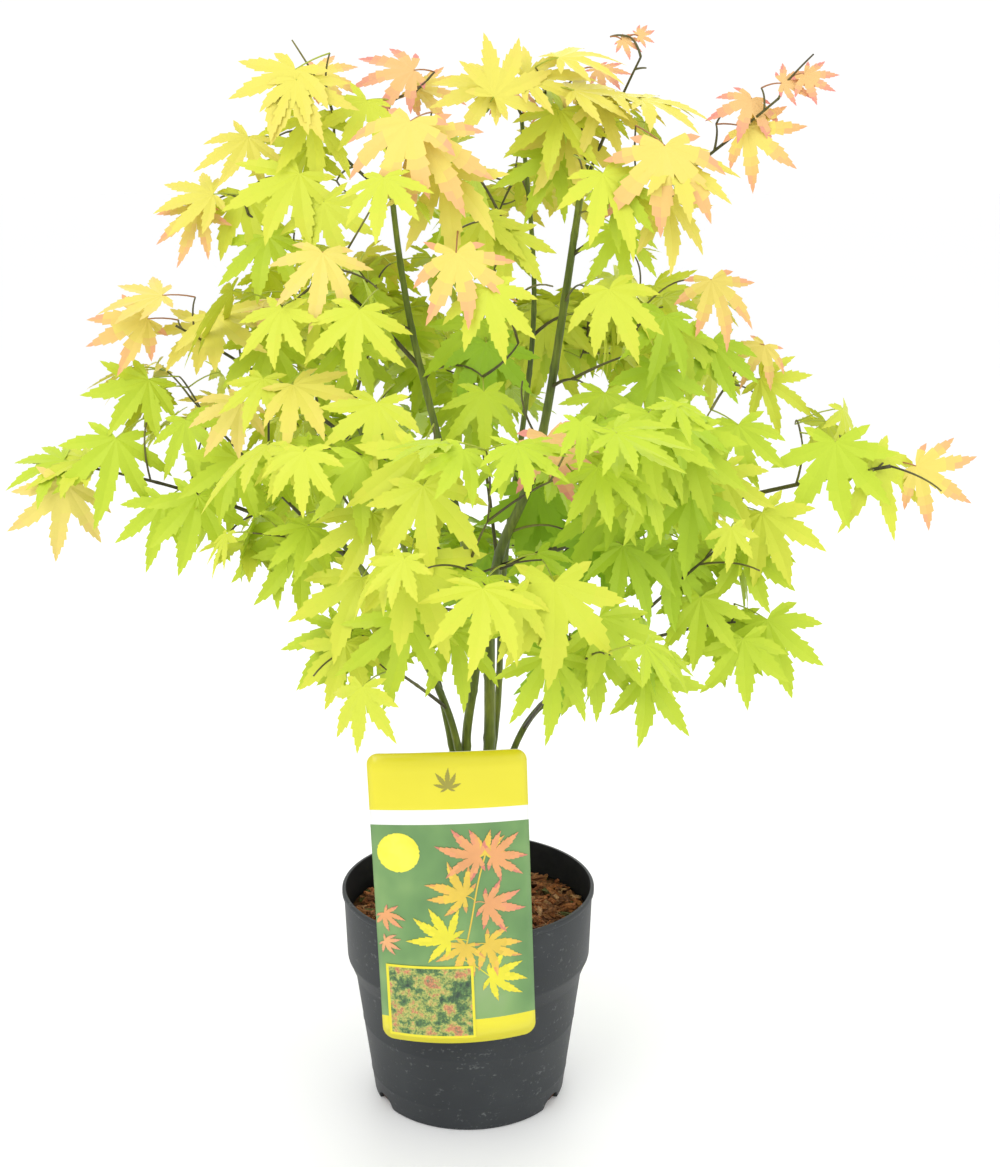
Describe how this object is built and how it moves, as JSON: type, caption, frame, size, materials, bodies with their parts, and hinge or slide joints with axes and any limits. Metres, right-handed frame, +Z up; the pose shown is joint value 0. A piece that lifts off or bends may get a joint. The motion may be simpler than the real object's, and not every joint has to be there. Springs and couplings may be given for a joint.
{
  "type": "potted japanese maple",
  "caption": "Young japanese maple with thin arching stems and layered lime to yellow foliage, in a round black nursery pot of bark compost with a blank picture label.",
  "frame": {"origin": "centre of the pot's flat underside, where it rests on the ground", "axes": "+Z up along the pot's axis; -Y is the front, where the label card hangs; +X is to the right seen from the front"},
  "size_m": [0.7132, 0.486, 0.7843],
  "materials": {
    "pot": "matte charcoal-black moulded plastic with faint scuffs",
    "compost": "rough, damp, reddish-brown chipped bark compost",
    "label_card": "semi-gloss printed plastic card: yellow head, white band and green picture panel, with no lettering",
    "stem_bark": "smooth satin olive-green bark with darker nodes",
    "bough_bark": "satin olive to dark brown young bark",
    "foliage_green": "soft satin lime-green leaves",
    "foliage_lime": "soft satin yellow-green leaves",
    "foliage_yellow": "soft satin yellow leaves, flushed orange-pink on the young tips"
  },
  "bodies": {
    "root": {"pot": "pot", "compost": "compost", "label_card": "label_card", "trunk": "stem_bark", "right_stem": "stem_bark", "left_stem": "stem_bark", "middle_stem": "stem_bark", "side_left_stem": "stem_bark", "low_left_stem": "stem_bark", "low_right_stem": "stem_bark", "top_tip": "foliage_yellow", "top_left_tip": "foliage_yellow", "top_left": "foliage_yellow", "top_middle": "foliage_yellow", "top_right": "foliage_yellow", "left_shoulder": "foliage_yellow", "right_shoulder": "foliage_yellow", "upper_right_tip": "foliage_yellow", "upper_left": "foliage_yellow", "left_middle": "foliage_lime", "left_inner": "foliage_lime", "centre_upper": "foliage_lime", "right_upper": "foliage_lime", "far_left": "foliage_green", "left_arm": "foliage_lime", "left_low": "foliage_green", "left_centre": "foliage_green", "centre_front": "foliage_green", "right_centre": "foliage_green", "right_arm": "foliage_lime", "right_side": "foliage_green", "far_right": "foliage_lime", "right_low": "foliage_green", "bottom_right": "foliage_green", "bottom_left": "foliage_green", "bottom_front": "foliage_green", "back_top": "foliage_lime", "back_upper_left": "foliage_lime", "back_upper_right": "foliage_lime", "back_left": "foliage_green", "back_middle": "foliage_green", "back_right": "foliage_green", "back_low": "foliage_green", "upper_left_bough": "bough_bark", "top_left_bough": "bough_bark", "top_right_bough": "bough_bark", "upper_right_bough": "bough_bark", "left_bough": "bough_bark", "left_arm_bough": "bough_bark", "far_left_bough": "bough_bark", "bottom_left_bough": "bough_bark", "far_right_bough": "bough_bark", "right_side_bough": "bough_bark", "right_low_bough": "bough_bark", "bottom_right_bough": "bough_bark", "front_bough": "bough_bark", "back_left_bough": "bough_bark", "back_bough": "bough_bark", "back_right_bough": "bough_bark"}
  },
  "joints": []
}
